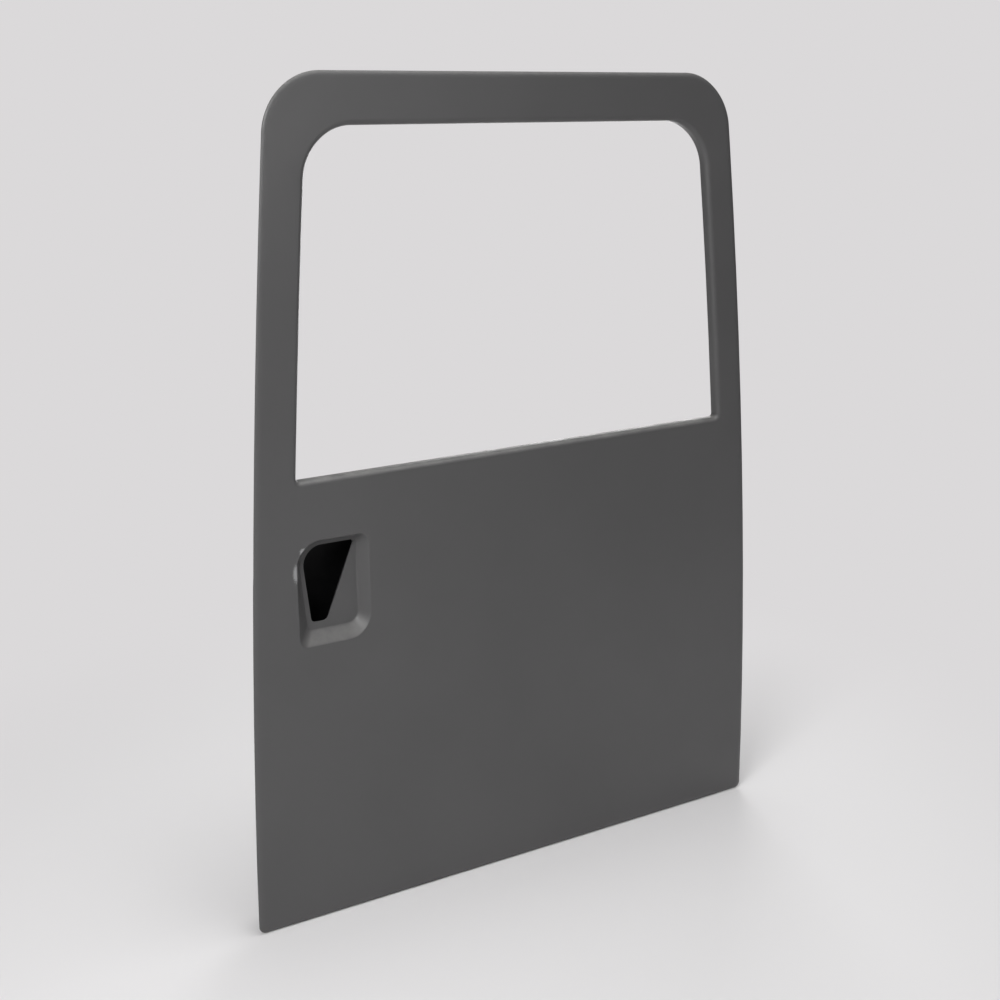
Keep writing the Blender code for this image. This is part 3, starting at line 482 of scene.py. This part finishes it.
def round_arcs(bm):
    """Give every curved outline of a pressing more points, on the curve through those it has."""
    bm.verts.index_update()
    outline = outline_edges(bm)
    spans = outline_spans(outline)
    arcs = curved_spans(spans, run_tangents(spans))
    members = {vert for span, _, _ in arcs for vert in span}
    fixed = set(outline)
    loose = [edge for edge in bm.edges
             if edge not in fixed and len(edge.link_faces) == 2
             and all(vert in members for vert in edge.verts)
             and edge.calc_face_angle(math.pi) < STRAIGHT
             and not any(is_flat(face) for face in edge.link_faces)]
    bmesh.ops.dissolve_edges(bm, edges=loose, use_verts=False, use_face_split=False)

    moves = []
    for span, start, end in arcs:
        first, second = span[0].co.copy(), span[-1].co.copy()
        added = []
        for here, ahead in zip(span, span[1:]):
            for k in range(ARC_CUTS):
                edge = bm.edges.get((here, ahead))
                _, here = bmesh.utils.edge_split(edge, here, 1 / (ARC_CUTS + 1 - k))
                added.append(here)
            if ahead is not span[-1]:
                added.append(ahead)
        for vert in added:
            share = (vert.co - first).length / (second - first).length
            moves.append((vert, on_curve(first, second, start, end, share)))
    strips = dict.fromkeys(face for vert, _ in moves for face in vert.link_faces if not is_flat(face))
    for vert, smooth in moves:
        vert.co = smooth
    join_folded(bm)
    bmesh.ops.triangulate(bm, faces=list(strips), quad_method="BEAUTY", ngon_method="BEAUTY")


def one_side(bm, direction):
    """Faces of one side of a sheet: all that join its largest face that way without crossing its rim."""
    bm.normal_update()
    seed = max(bm.faces, key=lambda face: face.calc_area() * max(face.normal.y * direction, 0.0))
    side = {seed}
    front = [seed]
    while front:
        for edge in front.pop().edges:
            if len(edge.link_faces) != 2 or edge.calc_face_angle(math.pi) > SHEET_RIM:
                continue
            for other in edge.link_faces:
                if other not in side:
                    side.add(other)
                    front.append(other)
    return side


def pressing(name, surface, inside=None, direction=1):
    """Shaded copy of a pressed CAD node: the same form, its triangles joined and its folds kept crisp.

    The side turned in this direction along y may have a finish of its own.
    """
    bm = bmesh.new()
    bm.from_mesh(frame["nodes"][name].data)
    bmesh.ops.remove_doubles(bm, verts=bm.verts[:], dist=SAME_POINT)
    bmesh.ops.dissolve_degenerate(bm, dist=SAME_POINT, edges=bm.edges[:])
    bmesh.ops.dissolve_limit(bm, angle_limit=SAME_FACE, verts=bm.verts[:], edges=bm.edges[:])
    round_arcs(bm)
    surfaces = [surface]
    if inside is not None:
        surfaces.append(inside)
        for face in one_side(bm, direction):
            face.material_index = 1
    mesh = finished(bm, name + "_pressing")
    mesh.shade_smooth()
    mesh.set_sharp_from_angle(angle=SHEET_FOLD)

    # Clearing a mesh's materials sets its faces back to the first one, so the indices are put in again
    indices = [polygon.material_index for polygon in mesh.polygons]
    made = add_piece(name + "_pressing", mesh, surfaces)
    mesh.polygons.foreach_set("material_index", indices)
    even = made.modifiers.new("Even normals", "WEIGHTED_NORMAL")
    even.keep_sharp = True
    even.weight = 100
    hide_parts(name)


def weld_spots():
    """Start and heading of a ray for each weld of the inner panel, in the door's coordinates."""
    # On the panel's face: the header, the inner belt rail and the pull handle bracket
    face = [(0.08 * k, 1.2895) for k in range(-4, 5)]
    face += [(0.0822 * (k - 4.5), 0.6905) for k in range(10)]
    face += [(x, z) for x in (-0.185, -0.110, -0.035) for z in (0.522, 0.548)]

    # The glass guide's bracket and the pillar of each side
    for side, bracket_x, pillar_middle in ((-1, 0.445, 0.036), (1, 0.457, 0.030)):
        face += [(side * bracket_x, z) for z in (0.263, 0.276)]
        for k in range(6):
            z = 0.80 + 0.075 * k
            face.append((side * (DOOR_WIDTH / 2 - lean(z) - pillar_middle), z))

    # On the shut walls: the skin stiffener's rear bracket, then the hinge, check link and latch seats
    wall = [(-1, 0.030, z) for z in (0.330, 0.350)]
    for side, z, half in ((1, 0.490, 0.043), (1, 0.130, 0.043), (1, 0.310, 0.034), (-1, 0.500, 0.043)):
        for end in (-half, half):
            for y in (0.0165, 0.0385):
                wall.append((side, y + barrel(z), z + end))

    spots = [(Vector((x, CAB_SIDE, z)), Vector((0, -1, 0))) for x, z in face]
    spots += [(Vector((side * BEYOND_WALL, y, z)), Vector((-side, 0, 0))) for side, y, z in wall]
    return spots


def weld_marks(surface):
    """Shallow rings that the welding tips left on the inner panel, along its seams and round its seats."""
    source = frame["nodes"]["inner_panel"].data
    tree = BVHTree.FromPolygons([v.co for v in source.vertices], [p.vertices for p in source.polygons])
    bm = bmesh.new()
    for start, heading in weld_spots():
        hit, normal, _, _ = tree.ray_cast(DOOR + start, heading)
        if hit is None:
            continue
        turn = Matrix.Translation(hit) @ normal.to_track_quat("Z", "Y").to_matrix().to_4x4()
        rings = []
        for share, height in WELD_SECTION:
            reach = WELD_RADIUS * share
            rings.append(add_ring(bm, WELD_SIDES, lambda c, s: turn @ Vector((reach * c, reach * s, height))))
        for outer, inner in zip(rings, rings[1:]):
            join_rings(bm, outer, inner)
        bm.faces.new(rings[-1])
    mesh = finished(bm, "weld_marks")
    mesh.shade_smooth()
    add_piece("weld_marks", mesh, [surface])


def hem_line():
    """Middle line of the sealer bead, all round the back of the hem."""
    half = DOOR_WIDTH / 2 - BEAD_INSET
    low = BEAD_INSET + BEAD_CORNER
    high_radius = TOP_CORNER - BEAD_INSET
    high = DOOR_HEIGHT - TOP_CORNER
    points = []
    for k in range(FOOT_STEPS + 1):
        angle = -math.pi / 2 * (1 - k / FOOT_STEPS)
        points.append((half - BEAD_CORNER * (1 - math.cos(angle)), low + BEAD_CORNER * math.sin(angle)))
    points += [(half, low + (high - low) * k / SIDE_STEPS) for k in range(1, SIDE_STEPS)]
    for k in range(TOP_STEPS + 1):
        angle = math.pi / 2 * k / TOP_STEPS
        points.append((half - high_radius * (1 - math.cos(angle)), high + high_radius * math.sin(angle)))
    points += [(-x, z) for x, z in reversed(points)]
    return [place(x - math.copysign(lean(z), x), BEAD_DEPTH + barrel(z), z) for x, z in points]


def hem_sealer(surface):
    """Thin bead of sealer against the end of the hem."""
    path = hem_line()
    bm = bmesh.new()
    rings = []
    for index, point in enumerate(path):
        run = (path[(index + 1) % len(path)] - path[index - 1]).normalized()
        out = run.cross(Vector((0, 1, 0))).normalized()
        up = out.cross(run)
        rings.append(add_ring(bm, BEAD_SIDES, lambda c, s: point + BEAD_RADIUS * (out * c + up * s)))
    for index, ring in enumerate(rings):
        join_rings(bm, ring, rings[(index + 1) % len(rings)])
    bmesh.ops.recalc_face_normals(bm, faces=bm.faces[:])
    mesh = finished(bm, "hem_sealer")
    mesh.shade_smooth()
    add_piece("hem_sealer", mesh, [surface])


# Stage

def aim_along(thing, direction):
    """Turn a camera or a light to look along a direction."""
    thing.rotation_mode = "QUATERNION"
    thing.rotation_quaternion = direction.to_track_quat("-Z", "Y")


def build_camera():
    data = bpy.data.cameras.new("camera")
    data.lens = LENS
    data.sensor_width = 36.0
    data.sensor_fit = "HORIZONTAL"
    data.clip_start = 0.05
    data.clip_end = 100.0
    camera = add_object("camera", data)
    camera.location = place(*CAMERA_PLACE)
    aim = CAMERA_HEADING.normalized() * math.cos(CAMERA_PITCH) + Vector((0, 0, math.sin(CAMERA_PITCH)))
    aim_along(camera, aim)
    bpy.context.scene.camera = camera


def area_light(name, where, target, side, power, cone):
    data = bpy.data.lights.new(name, "AREA")
    data.shape = "RECTANGLE"
    data.size = side
    data.size_y = side
    data.energy = power
    data.spread = cone
    lamp = add_object(name, data)
    lamp.location = place(*where)
    aim_along(lamp, place(*target) - lamp.location)


def build_world():
    """Soft light all round, darker at the horizon than overhead, with the pale background behind."""
    world = bpy.data.worlds.new("studio")
    bpy.context.scene.world = world
    world.use_nodes = True
    tree = world.node_tree
    tree.nodes.clear()
    output = node(tree, "ShaderNodeOutputWorld")
    where = node(tree, "ShaderNodeTexCoord")
    axes = node(tree, "ShaderNodeSeparateXYZ")
    link(tree, where.outputs["Generated"], axes.inputs[0])
    ramp = node(tree, "ShaderNodeValToRGB")
    while len(ramp.color_ramp.elements) < len(SKY):
        ramp.color_ramp.elements.new(0.5)
    for element, (position, grey) in zip(ramp.color_ramp.elements, SKY):
        element.position = position
        element.color = (grey, grey, grey, 1)
    height = maths(tree, "MULTIPLY_ADD", axes.outputs["Z"], 0.5, 0.5)
    light = node(tree, "ShaderNodeBackground")
    backdrop = node(tree, "ShaderNodeBackground")
    backdrop.inputs["Color"].default_value = BACKGROUND
    seen = node(tree, "ShaderNodeLightPath")
    mix = node(tree, "ShaderNodeMixShader")
    link(tree, height, ramp.inputs["Fac"], ramp.outputs["Color"], light.inputs["Color"],
         seen.outputs["Is Camera Ray"], mix.inputs["Fac"], light.outputs[0], mix.inputs[1],
         backdrop.outputs[0], mix.inputs[2], mix.outputs[0], output.inputs["Surface"])


def build_floor():
    """Pale floor that takes the door's shadow close by and runs out into the background."""
    bm = bmesh.new()
    bmesh.ops.create_grid(bm, x_segments=2, y_segments=2, size=FLOOR_REACH)
    bmesh.ops.translate(bm, verts=bm.verts[:], vec=place(0, 0, -FLOOR_DROP))
    mesh = finished(bm, "floor")
    floor = add_object("floor", mesh)
    surface = bpy.data.materials.new("pale_floor")
    surface.use_nodes = True
    tree = surface.node_tree
    tree.nodes.clear()
    output = node(tree, "ShaderNodeOutputMaterial")
    matt = node(tree, "ShaderNodeBsdfDiffuse")
    matt.inputs["Color"].default_value = FLOOR
    glow = node(tree, "ShaderNodeEmission")
    glow.inputs["Color"].default_value = BACKGROUND
    where = node(tree, "ShaderNodeTexCoord")
    centre = node(tree, "ShaderNodeVectorMath", operation="DISTANCE")
    centre.inputs[1].default_value = place(0, 0, 0)
    near = node(tree, "ShaderNodeMapRange", interpolation_type="SMOOTHSTEP")
    near.inputs["From Min"].default_value = FADE_START
    near.inputs["From Max"].default_value = FADE_END
    seen = node(tree, "ShaderNodeLightPath")
    share = maths(tree, "MULTIPLY", near.outputs["Result"], seen.outputs["Is Camera Ray"])
    mix = node(tree, "ShaderNodeMixShader")
    link(tree, where.outputs["Object"], centre.inputs[0], centre.outputs["Value"], near.inputs["Value"],
         share, mix.inputs["Fac"], matt.outputs[0], mix.inputs[1], glow.outputs[0], mix.inputs[2],
         mix.outputs[0], output.inputs["Surface"])
    mesh.materials.append(surface)


def main():
    bpy.context.scene.view_settings.view_transform = "Standard"
    build_camera()
    groups = (build_coat_group(), build_dust_group(), build_rim_highlight_group())
    # The primer carries the painted highlight spots on the pocket's rim
    primer = coated("dark_grey_primer", PRIMER, groups, roughness=0.42, cloud=0.30, peel=1.0,
                    dust=0.55, rim_highlight=1.0)
    dipped = coated("black_dip_coat", DIPPED, groups, roughness=0.36, cloud=0.40, peel=1.2, dust=0.25)
    # Cavity side of the inner panel: dark coat with painted shade, and little sheen
    cavity = coated("cavity_coat_and_painted_shade", CAVITY_COAT_AND_SHADE, groups, roughness=0.55, cloud=0.60, peel=3.0, specular=0.1)
    zinc = coated("galvanised_sheet", ZINC, groups, roughness=0.46, cloud=0.5, peel=0.6, metallic=0.9)
    steel = coated("plain_steel", STEEL, groups, roughness=0.40, cloud=0.3, peel=0.4, metallic=1.0)
    mastic = coated("black_mastic", MASTIC, groups, roughness=0.75, cloud=0.4, peel=3.0)
    sealer = coated("seam_sealer", SEALER, groups, roughness=0.60, cloud=0.3, peel=2.0)

    pressing("outer_skin", primer, dipped, 1)
    pressing("inner_panel", primer, cavity, -1)
    for name in ("glass_run_channel", "glass_guide_front", "glass_guide_rear"):
        pressing(name, zinc)
    finish_of = {"grey_primer": dipped, "plain_steel": steel, "black_mastic": mastic}
    for part in frame["record"]["subparts"]:
        if part["node"] in ("outer_skin", "inner_panel") or part["material_slot"] == "galvanised_sheet":
            continue
        data = frame["nodes"][part["node"]].data
        data.materials.clear()
        data.materials.append(finish_of[part["material_slot"]])
    weld_marks(primer)
    hem_sealer(sealer)

    build_world()
    build_floor()
    for light in LIGHTS:
        area_light(*light)


main()
